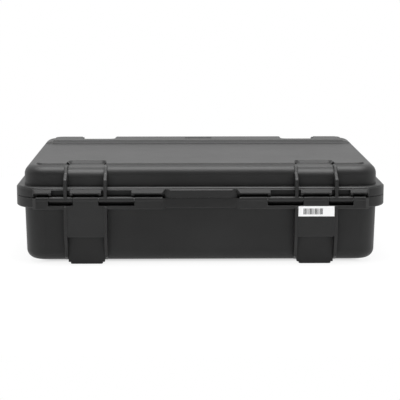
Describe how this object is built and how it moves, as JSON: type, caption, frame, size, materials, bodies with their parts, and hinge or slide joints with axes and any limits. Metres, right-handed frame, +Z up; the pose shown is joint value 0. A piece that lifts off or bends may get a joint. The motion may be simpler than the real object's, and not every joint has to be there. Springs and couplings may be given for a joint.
{
  "type": "laptop hard case",
  "caption": "Moulded hard case with a pinned hinge, ribbed shells, stacking feet, latches with sprung triggers, a folding handle, a valve and foam.",
  "frame": {"origin": "middle of the bounding box, on the ground under the feet", "axes": "+X along the hinge to the right seen from the hinge side, +Y from the hinge to the latches, +Z up"},
  "size_m": [0.51, 0.3859, 0.138],
  "materials": {
    "shell": "black moulded polypropylene, fine even texture",
    "latch": "black glass-filled nylon, fine texture",
    "grip": "black soft over-mould",
    "seal": "black elastomer seal",
    "steel": "stainless steel, satin",
    "valve": "black moulded nylon, satin",
    "label": "white printed film, even grey bars only",
    "foam": "charcoal open-cell polyurethane foam"
  },
  "bodies": {
    "base": {"base_shell": "shell", "hinge_pin_left": "steel", "hinge_pin_right": "steel", "label": "label", "valve_body": "valve", "valve_nut": "valve", "valve_seal": "seal", "padlock_plate_base_left": "steel", "padlock_plate_base_right": "steel", "padlock_tab_base_left": "shell", "padlock_tab_base_right": "shell", "base_foam": "foam", "handle_pin_left": "steel", "handle_pin_right": "steel"},
    "lid": {"lid_shell": "shell", "lid_seal": "seal", "latch_pin_left": "steel", "latch_pin_right": "steel", "padlock_plate_lid_left": "steel", "padlock_plate_lid_right": "steel", "padlock_tab_lid_left": "shell", "padlock_tab_lid_right": "shell", "lid_foam": "foam"},
    "handle": {"handle_frame": "latch", "handle_grip": "grip"},
    "latch_left": {"latch_left": "latch", "trigger_pin_left": "steel", "trigger_spring_left": "steel"},
    "trigger_left": {"trigger_left": "latch"},
    "latch_right": {"latch_right": "latch", "trigger_pin_right": "steel", "trigger_spring_right": "steel"},
    "trigger_right": {"trigger_right": "latch"}
  },
  "joints": [
    {"name": "lid_hinge", "type": "hinge", "parent": "base", "child": "lid", "pos_m": [0, -0.18805, 0.0921], "axis": [1, 0, 0], "range_deg": [0, 95]},
    {"name": "handle_swing", "type": "hinge", "parent": "base", "child": "handle", "pos_m": [0, 0.18045, 0.0715], "axis": [1, 0, 0], "range_deg": [0, 90]},
    {"name": "latch_left_pivot", "type": "hinge", "parent": "lid", "child": "latch_left", "pos_m": [-0.1575, 0.18695, 0.1098], "axis": [1, 0, 0], "range_deg": [0, 100]},
    {"name": "trigger_left_pull", "type": "hinge", "parent": "latch_left", "child": "trigger_left", "pos_m": [-0.1575, 0.18865, 0.0788], "axis": [1, 0, 0], "range_deg": [0, 16], "stiffness_Nm_per_rad": 0.03, "springref_deg": -5.73},
    {"name": "latch_right_pivot", "type": "hinge", "parent": "lid", "child": "latch_right", "pos_m": [0.1575, 0.18695, 0.1098], "axis": [1, 0, 0], "range_deg": [0, 100]},
    {"name": "trigger_right_pull", "type": "hinge", "parent": "latch_right", "child": "trigger_right", "pos_m": [0.1575, 0.18865, 0.0788], "axis": [1, 0, 0], "range_deg": [0, 16], "stiffness_Nm_per_rad": 0.03, "springref_deg": -5.73}
  ]
}
